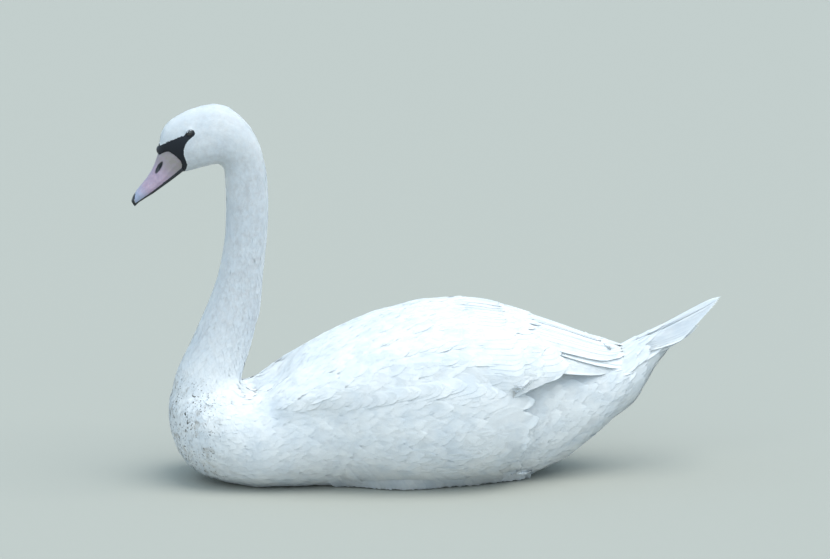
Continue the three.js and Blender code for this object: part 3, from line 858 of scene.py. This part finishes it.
# How big feathers are along the spine: how far along, then spacing, length and half width.
SIZES = np.array([
    (0, 1.55, 5.5, 1.5), (60, 1.9, 7.5, 1.9), (130, 2.5, 10.5, 2.5), (200, 3.0, 13.5, 3.0),
    (330, 3.6, 17, 3.7), (430, 4.6, 21, 4.9), (500, 6.0, 27, 6.6), (600, 8.0, 36, 9.0),
    (760, 9.5, 44, 10.5), (1150, 9.0, 42, 10),
])


def sizes_at(points):
    reach = along_spine(points)[0] / MM
    return [np.interp(reach, SIZES[:, 0], SIZES[:, k]) * MM for k in (1, 2, 3)]


BODY_FORM = {
    "root": 0.4, "tip": 0.3, "round": 0.5, "blunt": 0.1, "ragged": 0.01, "cup": 0.06, "soft": 0.9, "tilt": 0,
    "jitter": 0.15, "twist": 0.02,
}


def by_mask(points):
    """How much smaller feathers are near the edge of the bare skin."""
    return np.interp(-bare_by(points), [0, 6 * MM], [0.6, 1])


# How loose the feathers of a region lie: 1 is sleek.
LOOSE = {"vent": 1.9, "trunk": 1.2}


def grow_coat():
    """The small feathers of the whole body, except on the bare skin, under the belly and over the rump."""
    tries = 4  # random points for each feather wanted, before those too near to another are left out
    points = sample(outer, lambda p: tries / (sizes_at(p)[0] * by_mask(p)) ** 2)
    bare = bare_by(points)
    lowest = (points[:, 2] < 3 * MM) & (outer.at(points)[1][:, 2] < -0.8)
    rump = (points[:, 1] > 292 * MM) | ((points[:, 1] > 232 * MM) & (points[:, 2] > 150 * MM))
    points = points[(bare < 0.4 * MM) & ~lowest & ~rump]
    near_mask = by_mask(points)
    spacing, long, half = sizes_at(points)
    kept = scattered(points, spacing * near_mask)
    points, near_mask = points[kept], near_mask[kept]
    long, half = long[kept] * (0.3 + 0.7 * near_mask), half[kept] * near_mask
    owners = owner_of(points)
    depth = coat_depth(points) * near_mask
    regions = {
        "head": (["head"], TINY, 2, "neck"),
        "neck": (["neck_upper", "neck_middle", "neck_lower", "neck_base"], SMALL, 2, "neck"),
        "breast": (["breast"], BROAD, 4, "plumage"),
        "trunk": (["trunk", "flank_left", "flank_right"], BROAD, 4, "plumage"),
        "vent": (["vent"], BROAD, 4, "plumage"),
    }
    for side in SIDES:
        regions[f"wing_{side}"] = [f"wing_{side}_scapulars", f"wing_{side}_coverts"], BROAD, 4, "plumage"
    for region, (nodes, shares, cols, slot) in regions.items():
        here = np.isin(owners, nodes)
        jitter = rng.normal(1, 0.1, here.sum())
        loose = LOOSE.get(region, 1)
        under = np.minimum(0.045 * long[here], 1.2 * MM) * loose
        form = {**BODY_FORM, "depth": np.maximum(depth[here], under), "under": under}
        form["ragged"] *= loose**2
        mesh = vanes(
            f"coat_{region}", points[here], long[here] * jitter, half[here] * jitter, form, shares, cols,
            0.09 * loose**1.5,
        )
        made = shown(f"coat_{region}", mesh, COAT)
        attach(made, "root")


grow_coat()


# ---- the long feathers of wings, flanks and tail ----
def on_shell(shell, points, shares):
    """Places (y, z) at shares of the real length of a line drawn on a shell as seen from the side."""
    line = np.array(points, float) * MM
    reach = reaches(line)
    fine = read_along(line, reach, np.linspace(0, 1, 200) * reach[-1])
    reach = reaches(shell.place(fine[:, 0], shell.turn(fine[:, 0], fine[:, 1])))
    return read_along(fine, reach, shares * reach[-1])


FAN_DEPTH = 3 * MM  # how far the root of a long feather lies below its middle


def laid(place, normal, half, depth, tilt):
    """Feathers as grow_fans() takes them. place and normal are (feathers, rows, 3), from root to tip. half,
    depth and tilt are as in feather_grid(), for each feather or for all of them."""
    return [place, normal, *(np.broadcast_to(values, len(place)) for values in (half, depth, tilt))]


def fan(shell, count, roots, tips, half, lift, bow=0.0, tilt=0.025, flare=0.0, uneven=2.5):
    """count feathers on a shell, with their roots and their tips spread along two lines of (y, z). half is
    half their width, lift how high the first and the last lie over the shell, bow how far they curve, tilt
    how far one side lies under the next feather, flare how far the tips stand out, and uneven how much their
    lengths differ."""
    shares = (np.arange(count) + rng.uniform(0.35, 0.65, count)) / count
    start, end = on_shell(shell, roots, shares), on_shell(shell, tips, shares)
    end = end + rng.normal(0, uneven * MM, (count, 1)) * unit(end - start)
    first, last = shell.turn(start[:, 0], start[:, 1]), shell.turn(end[:, 0], end[:, 1])
    t = np.array(LONG)[None, :]
    bowed = bow * length(end - start) * 4 / (120 * MM)
    turn = first[:, None] + (last - first)[:, None] * t - bowed[:, None] * t * (1 - t)
    y = start[:, :1] + (end - start)[:, :1] * t
    place = shell.place(y, turn)
    normal = shell.normal(place)
    height = np.linspace(*lift, count)[:, None] + flare * t**2
    half = half * MM * rng.uniform(0.92, 1.08, count)
    return laid(place + normal * height[:, :, None] * MM, normal, half, FAN_DEPTH, tilt)


def grow_fans(name, fans, form, mirrored=False):
    """One mesh of all the feathers in fans, each as fan() gives it, or of their mirror image."""
    place, normal, half, depth, tilt = (np.concatenate(parts) for parts in zip(*fans))
    if mirrored:
        place, normal, tilt = place * [-1, 1, 1], normal * [-1, 1, 1], -tilt
    way = unit(np.gradient(place, axis=1))
    normal = unit(normal - way * (normal * way).sum(-1, keepdims=True))
    long = length(np.diff(place, axis=1)).sum(1)
    form = {**form, "depth": depth, "under": 0.01 * long, "tilt": tilt}
    grid, vane_uv = feather_grid(place, normal, way, long, half, LONG, 8, form)
    facing = np.broadcast_to(normal[:, :, None], grid.shape)
    tone = rng.random(len(long))
    mesh = joined_vanes(name, grid, facing, form["soft"], tone, patches(place[:, 0], LONG, 8), vane_uv)
    made = shown(name, mesh, COAT)
    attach(made, "root")
    return made


LONG_FORM = {
    "root": 0.5, "tip": 0.12, "round": 0.78, "blunt": 0.02, "ragged": 0.003, "cup": 0.0, "soft": 0.8,
    "jitter": 0.03, "twist": 0.003,
}
# Each row is what fan() takes after the shell.
WING_FANS = (
    # primaries, hidden for the most part under the tertials
    (6, [(90, 192), (90, 226)], [(262, 157), (282, 164)], 11, (-8, -7.4)),
    # lower tertials: the lowest one's edge is the long slanted line down to the tail
    (5, [(96, 222), (70, 244)], [(296, 156), (268, 176)], 13, (-5.0, -4.2), -0.01, 0.03),
    # secondaries: a rounded lobe
    (15, [(50, 140), (36, 160), (40, 190), (56, 220)],
     [(118, 147), (150, 157), (174, 162), (186, 168), (180, 182), (162, 198), (144, 212)],
     12, (-4.4, -2.2), -0.03),
    # upper tertials, over the rump
    (11, [(60, 228), (50, 250)], [(262, 170), (280, 188)], 14, (-2.4, -0.8), -0.01, 0.03),
    # greater coverts
    (14, [(16, 150), (34, 170), (42, 200), (46, 220)],
     [(80, 146), (112, 157), (121, 178), (115, 198), (106, 216)], 12, (-2.6, -0.8), -0.03),
    # the last scapulars, which end in a notch on the back
    (16, [(-6, 206), (16, 230), (26, 250)], [(70, 208), (98, 224), (104, 245)], 13, (-1.8, -0.3), 0.0),
)
FLANK_FANS = (
    # the flank's rear end
    (24, [(38, 134), (52, 110), (56, 70), (40, 36)],
     [(80, 147), (106, 138), (122, 120), (129, 96), (122, 64), (98, 32)],
     10, (0.5, -2), 0.02, -0.04, 0.0, 8),
    # its upper edge, which lies over the wing's lower edge
    (26, [(-196, 112), (-140, 116), (-90, 126), (-30, 132), (16, 130)],
     [(-128, 128), (-94, 135), (-52, 144), (-4, 153), (46, 155), (98, 141)],
     9, (-1.8, -1.4), 0.03, -0.03, 2.8, 8),
    # the belly's feathers, which hang to the floor over the folded legs
    (58, [(-170, 50), (-20, 46), (104, 50)], [(-130, 5), (20, 3), (126, 8)],
     8, (-1, -1), 0.0, -0.03, 4.0, 5),
    (58, [(-180, 32), (-20, 28), (92, 32)], [(-140, 1), (10, 0), (116, 3)],
     8, (-2, -2), 0.0, -0.03, 3.0, 4),
)


def grow_wings():
    """The feathers of folded wings and flanks that show one by one, from the lowest layer to the highest."""
    flank_form = {**LONG_FORM, "shell": FLANK, "tip": 0.3, "ragged": 0.008}
    for name, side in SIDES.items():
        fans = [fan(WING, *row) for row in WING_FANS]
        grow_fans(f"feathers_wing_{name}", fans, {**LONG_FORM, "shell": WING}, side < 0)
        fans = [fan(FLANK, *row) for row in FLANK_FANS]
        grow_fans(f"feathers_flank_{name}", fans, flank_form, side < 0)


TAIL = {
    "feathers": 23, "root": (266, 173), "long": 158, "half": 12.5,
    "rise": 0.448,  # radians over level
    "spread": 0.34, "apart": 15,  # of the outermost feathers: how far they turn outwards, and their roots' x
    "shorter": 0.34, "droop": 16,  # by what share those are shorter, and how much lower their tips are
    "step": 0.2,  # how much lower each feather lies than the next one nearer to the middle
}


def tail_fan():
    """The tail: stiff pointed feathers in a wedge, the middle ones longest and on top."""
    count = TAIL["feathers"]
    off = np.linspace(-1, 1, count)[:, None]
    share = np.array(LONG)[None]
    long = TAIL["long"] * (1 - TAIL["shorter"] * np.abs(off) ** 1.3)
    turn = TAIL["spread"] * off
    out = TAIL["apart"] * off + long * share * np.sin(turn)
    back = TAIL["root"][0] + long * share * np.cos(turn) * math.cos(TAIL["rise"])
    high = TAIL["root"][1] + long * share * math.sin(TAIL["rise"])
    high = high - TAIL["droop"] * off**2 * (0.15 + 0.85 * share)
    high = high - TAIL["step"] * count * np.abs(off) / 2 + 0.5 * (np.abs(off) < 0.01)
    place = np.stack([out, back, high], -1) * MM
    normal = unit(np.cross(np.gradient(place, axis=0), np.gradient(place, axis=1)))
    normal = normal * np.sign(normal[..., 2:])
    return laid(place, normal, TAIL["half"] * MM, 0.0, 0.06 * np.sign(off[:, 0]))


def grow_tail():
    made = grow_fans("feathers_tail", [tail_fan()], {**LONG_FORM, "round": 0.7, "soft": 0.3})
    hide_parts("tail")


# The belly's edge: how many feathers in a row, from which y to which, the heights of the rows' roots, how
# far in the tips go, and at which y, how much and over what length they go less far in, to hide the claws.
FRINGE = {
    "feathers": 90, "from": -150, "to": 120, "rows": (20, 13), "inward": 25,
    "claws": -68, "less": 23, "over": 50,
}


def grow_fringe():
    """Feathers of the belly's edge, which hang to the floor round the folded feet."""
    fans = []
    count = FRINGE["feathers"]
    for low in FRINGE["rows"]:
        y = np.linspace(FRINGE["from"], FRINGE["to"], count) + rng.uniform(-1.5, 1.5, count)
        starts = np.stack([np.full(count, 250.0), y, np.full(count, low)], 1) * MM
        hits = [outer.tree.ray_cast(p, (-1, 0, 0)) for p in starts.tolist()]
        root, normal = (np.array([tuple(hit[k]) for hit in hits]) for k in (0, 1))
        inward = -FRINGE["inward"] + FRINGE["less"] * bell(y, FRINGE["claws"], FRINGE["over"])
        tip, _ = outer.at(root + np.stack([inward, np.full(count, 14.0), np.full(count, 2.0 - low)], 1) * MM)
        tip[:, 2] = np.minimum(tip[:, 2], rng.uniform(0.5, 2.5, count) * MM)
        t = np.array(LONG)[None, :, None]
        place = root[:, None] + (tip - root)[:, None] * t + normal[:, None] * 0.4 * MM * np.sin(math.pi * t)
        fans.append(laid(place, np.broadcast_to(normal[:, None], place.shape), 5.5 * MM, 5 * MM, -0.03))
    form = {**LONG_FORM, "tip": 0.3, "round": 0.5, "ragged": 0.01}
    for name, side in SIDES.items():
        grow_fans(f"feathers_belly_{name}", fans, form, side < 0)


TAIL_TOP = Shell([
    (222, 155, 95, 52), (250, 167, 107, 51), (266, 174.5, 114.5, 49), (285, 183.5, 123.5, 46),
    (303, 192, 132, 45), (320, 200, 140, 47), (345, 212, 152, 51), (372, 225, 165, 50), (400, 238, 178, 46),
], 2.0)
TAIL_BASE = Shell([
    (222, 166, 52, 60), (240, 168, 61, 57), (262, 174, 77, 50.5), (281, 182, 92, 45.5),
    (290, 186.5, 103, 43.5), (303, 192, 124, 42), (312, 196, 142, 41), (324, 201.5, 158, 40),
    (340, 209, 179, 38), (359, 217, 197, 33), (375, 223, 211, 27), (390, 229, 223, 20), (412, 239, 236, 12),
], 2.0)
# Rows of feathers at the tail's root: how many, from which turn to which in degrees (0 is up), the roots' y,
# the tips' y at the sides and in the middle, half their width and how high the row lies over its shell.
OVER_TAIL = (
    (17, (-58, 58), 262, (358, 376), 9, -5.5),  # this one lies under the tail
    (15, (-64, 64), 250, (320, 330), 9, -1.8),
    (17, (-68, 68), 238, (300, 312), 9.5, -1.0),
    (19, (-72, 72), 226, (284, 294), 10, -0.2),
)
UNDER_TAIL = (
    (7, (142, 218), 322, (380, 386), 7, -3.0),
    (11, (128, 232), 306, (366, 368), 7.5, -2.5),
    (15, (114, 246), 290, (348, 352), 8.5, -2.0),
    (21, (92, 268), 272, (332, 334), 9, -1.4),
    (23, (66, 294), 256, (318, 314), 9.5, -0.8),
    (27, (50, 310), 238, (300, 294), 10, -0.2),
)


def tail_row(shell, count, turns, root, tips, half, high):
    """A row of soft feathers round the tail's root, the middle one on top, as fan() gives them."""
    middle = sum(turns) / 2
    share = np.linspace(-1, 1, count)
    turn = middle + (turns[1] - middle) * share + rng.normal(0, 1, count)
    ends = tips[1] + (tips[0] - tips[1]) * np.abs(share) + rng.normal(0, 3, count)
    t = np.array(LONG)[None, :]
    y = (root + (ends - root)[:, None] * t) * MM
    place = shell.place(y, np.radians((turn + 180) % 360 - 180)[:, None] + 0 * y)
    normal = shell.normal(place)
    off = np.abs(share)[:, None]
    height = high + 0.3 * (off < 0.01) - 0.12 * off * count / 2 + 1.2 * t**2
    half = half * MM * rng.uniform(0.9, 1.1, count)
    return laid(place + normal * height[:, :, None] * MM, normal, half, 4 * MM, 0.03 * np.sign(share))


def grow_tail_coverts():
    form = {**LONG_FORM, "round": 0.6, "tip": 0.25, "ragged": 0.008}
    for name, shell, table in (("over", TAIL_TOP, OVER_TAIL), ("under", TAIL_BASE, UNDER_TAIL)):
        rows = [tail_row(shell, *row) for row in table]
        grow_fans(f"feathers_tail_{name}", rows, {**form, "shell": shell})


grow_wings()
grow_tail()
grow_tail_coverts()
grow_fringe()

# ---- bill, eyes and feet ----
# The edge of the pink of the bill, seen from the side: below it and behind it the bill is black.
PINK = [
    (-340.6, 437), (-351.9, 427.2), (-365, 417.2), (-379, 406.4), (-393, 396.4), (-403.5, 388.6),
    (-430, 372), (-430, 440), (-378, 480), (-362, 463.5), (-351.6, 457), (-345.8, 452), (-341.2, 446.5),
    (-339.8, 442),
]
# An oval seen from the side: half its length and height, how much it bends, and the cosine of its slope.
NOSTRIL = {"middle": (-370.9, 437.6), "long": 9.5, "high": 2.9, "bend": 0.006, "slope": 0.453}


def bill_values(places):
    """How far inside the pink each point is, and inside the nostril, both in metres."""
    pink = inside_by(places[:, 1:], PINK)
    out = places[:, 1:] / MM - np.array(NOSTRIL["middle"])
    long = np.array([NOSTRIL["slope"], math.sqrt(1 - NOSTRIL["slope"] ** 2)])
    u, v = out @ long, out @ np.array([-long[1], long[0]])
    v = v + NOSTRIL["bend"] * u * np.abs(u)
    nostril = 1 - np.sqrt((u / NOSTRIL["long"]) ** 2 + (v / NOSTRIL["high"]) ** 2)
    return {"pink": pink, "nostril": nostril * NOSTRIL["high"] * MM}


def bill_material():
    """Pink, dull at the root, with a painted bluish reflection of the sky towards the tip, and with a black
    edge and nostril.
    """
    s = Shader("bill")
    place = s.place()
    _, y, z = s.parts(place)
    along = s.math("SUBTRACT", s.times(y, -0.672), s.times(z, 0.74))  # towards the tip
    clouds, fine = s.noise(place, 160, 4, 0.6), s.noise(place, 900, 3, 0.6)
    pink = s.mix(s.ramp(clouds, 0.35, 0.7), (0.32, 0.245, 0.325), (0.40, 0.30, 0.38))
    base = s.times(s.ramp(along, -0.066, -0.092), s.ramp(clouds, 0.2, 0.65, 0.55, 1))
    colour = s.mix(base, pink, (0.255, 0.23, 0.215))
    # painted reflection of the sky: the pink turns bluish towards the tip
    colour = s.mix(s.ramp(along, -0.045, -0.022), colour, (0.32, 0.36, 0.48))
    colour = s.mix(s.times(s.ramp(fine, 0.55, 0.8), 0.35), colour, (0.30, 0.22, 0.26))
    wobble = s.wobble(500, 1.6 * MM)
    black = s.ramp(s.math("ADD", s.value("pink"), wobble), 0.35 * MM, -0.45 * MM)
    nostril = s.ramp(s.math("ADD", s.value("nostril"), s.times(wobble, 0.6)), -0.5 * MM, 0.7 * MM)
    streaks = s.noise(s.stretched(place, (900, 260, 260)), 1.0, 3, 0.6)
    s.bump(s.math("ADD", s.times(fine, 0.6), streaks), 0.3, 0.35 * MM)
    return s.finish(
        Base_Color=s.mix(s.math("MAXIMUM", black, nostril), colour, BLACK),
        Roughness=s.ramp(clouds, 0.3, 0.7, 0.38, 0.5), Subsurface_Weight=0.15,
        Subsurface_Radius=(1.0, 0.5, 0.4), Subsurface_Scale=1.5 * MM, Coat_Weight=0.1, Coat_Roughness=0.3,
    )


def horn_material():
    """The black horn of knob, lower bill, nail and claws."""
    s = Shader("horn")
    grain = s.noise(s.stretched(s.place(), (700, 250, 250)), 1.0, 4, 0.6)
    s.bump(grain, 0.35, 0.3 * MM)
    colour = s.mix(s.ramp(grain, 0.4, 0.8), BLACK, (0.035, 0.033, 0.04))
    return s.finish(Base_Color=colour, Roughness=s.ramp(grain, 0.3, 0.7, 0.32, 0.5))


def foot_material():
    """Black leathery skin with small many-sided scales."""
    s = Shader("foot")
    place = s.place()
    edges = {"feature": "DISTANCE_TO_EDGE"}
    cells = s.node("ShaderNodeTexVoronoi", out="Distance", settings=edges, Vector=place, Scale=420.0)
    scales = s.ramp(cells, 0.0, 0.16)
    s.bump(s.math("ADD", scales, s.times(s.noise(place, 1500, 3), 0.3)), 0.7, 0.5 * MM)
    tone = s.mix(s.ramp(s.noise(place, 90, 4), 0.35, 0.7), (0.022, 0.022, 0.025), (0.06, 0.06, 0.065))
    colour = s.mix(scales, (0.012, 0.012, 0.013), tone)
    return s.finish(Base_Color=colour, Roughness=s.ramp(scales, 0, 1, 0.7, 0.45))


def eye_material():
    """A black pupil, a dark brown iris and a black rim, under a wet clear coat."""
    s = Shader("eye")
    ring = s.value("ring")
    iris = s.mix(s.ramp(s.noise(s.place(), 2500, 3), 0.3, 0.7), (0.006, 0.003, 0.003), (0.016, 0.008, 0.005))
    colour = s.mix(s.ramp(ring, 2.4 * MM, 2.7 * MM), (0.002, 0.002, 0.002), iris)
    colour = s.mix(s.ramp(ring, 4.2 * MM, 4.8 * MM), colour, (0.006, 0.005, 0.005))
    return s.finish(Base_Color=colour, Roughness=0.25, Coat_Weight=1.0, Coat_Roughness=0.02)


def fine_piece(node, voxel, rounds, material, values=None):
    """A CAD node made again with a fine smooth surface, in the same place."""
    mesh = remeshed([node], voxel * MM, 0)
    places = smoothed(mesh, rounds)
    places[:, 2] = np.maximum(places[:, 2], 0)
    set_places(mesh, places)
    for title, numbers in (values(places) if values else {}).items():
        set_values(mesh, title, numbers)
    mesh.shade_smooth()
    mesh.name = f"{node}_fine"
    made = shown(mesh.name, mesh, material)
    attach(made, "root")
    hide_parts(node)


def ball(name, form):
    """A fine mesh sphere of radius 1, changed by the matrix form."""
    mesh = bpy.data.meshes.new(name)
    with edited(mesh) as work:
        bmesh.ops.create_icosphere(work, subdivisions=5, radius=1)
        work.transform(form)
    mesh.shade_smooth()
    return mesh


def knob_piece(material):
    """The small knob at the root of the bill, whole where the CAD's is only what shows."""
    turned = Matrix.Translation(Vector(KNOB) * MM) @ Matrix.Rotation(0.5, 4, "X")
    mesh = ball("bill_knob_fine", turned @ Matrix.Diagonal([7.5 * MM, 6.4 * MM, 7.5 * MM, 1]))
    made = shown(mesh.name, mesh, material)
    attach(made, "root")
    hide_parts("bill_knob")


def eyeball(name, side, material):
    """An eye with a slightly raised cornea. ring is how far each place is from the middle of the iris."""
    mesh = ball(f"eye_{name}_fine", Matrix.Scale(EYE_RADIUS * MM, 4))
    places, look = places_of(mesh), eye_axes(side)[0]
    out = places @ look
    ring = length(places - out[:, None] * look)
    ring = np.where(out > 0, ring, EYE_RADIUS * MM)
    cornea = 0.35 * MM * np.clip(1 - ring / (5 * MM), 0, 1)
    set_places(mesh, places + cornea[:, None] * look + eye_middle(side))
    set_values(mesh, "ring", ring)
    made = shown(mesh.name, mesh, material)
    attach(made, "root")
    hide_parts(f"eye_{name}")


horn, scaly, wet = horn_material(), foot_material(), eye_material()
fine_piece("bill_upper", 0.7, 6, bill_material(), bill_values)
for node in ("bill_lower", "bill_nail"):
    fine_piece(node, 0.7, 6, horn)
knob_piece(horn)
for name, side in SIDES.items():
    eyeball(name, side, wet)
    fine_piece(f"shank_{name}", 1.0, 6, scaly)
    fine_piece(f"foot_{name}", 1.0, 4, scaly)
    for toe in ("inner", "middle", "outer"):
        fine_piece(f"claw_{name}_{toe}", 0.5, 4, horn)

# ---- studio ----
AZIMUTH, ELEVATION = math.radians(84), math.radians(10)
TARGET = Vector((0, -0.019, 0.274))
DISTANCE = 6.0
LENS = 188.6
SUNS = (  # name, where the light comes from, strength, how wide the sun is in degrees, colour
    ("key", (0.25, 0.35, 1.0), 2.4, 50, (1.0, 0.98, 0.93)),
    ("fill", (1.0, -0.3, 0.6), 0.95, 60, (0.9, 0.97, 1.0)),
)


def studio():
    """The photo's viewing angle, a plain pale floor, a pale sky and two wide suns."""
    flat = math.cos(ELEVATION)
    back = Vector((math.sin(AZIMUTH) * flat, -math.cos(AZIMUTH) * flat, math.sin(ELEVATION)))
    data = bpy.data.cameras.new("camera")
    data.lens, data.sensor_width, data.clip_end = LENS, 36, 200
    camera = placed("camera", data)
    camera.location = TARGET + back * DISTANCE
    camera.rotation_euler = (-back).to_track_quat("-Z", "Y").to_euler()
    bpy.context.scene.camera = camera

    mesh = bpy.data.meshes.new("floor")
    with edited(mesh) as work:
        bmesh.ops.create_grid(work, x_segments=1, y_segments=1, size=60)
    plain = Shader("floor").finish(Base_Color=(0.37, 0.37, 0.33), Roughness=0.9, Specular_IOR_Level=0.1)
    floor = shown("floor", mesh, plain)

    world = bpy.data.worlds.new("world")
    bpy.context.scene.world = world
    world.use_nodes = True
    sky = world.node_tree.nodes["Background"].inputs
    sky["Color"].default_value, sky["Strength"].default_value = (0.62, 0.82, 1.0, 1), 1.0
    for name, way, strength, angle, colour in SUNS:
        lamp = bpy.data.lights.new(name, "SUN")
        lamp.energy, lamp.angle, lamp.color = strength, math.radians(angle), colour
        placed(name, lamp).rotation_euler = Vector(way).to_track_quat("Z", "Y").to_euler()
    bpy.context.scene.view_settings.view_transform = "Standard"


studio()
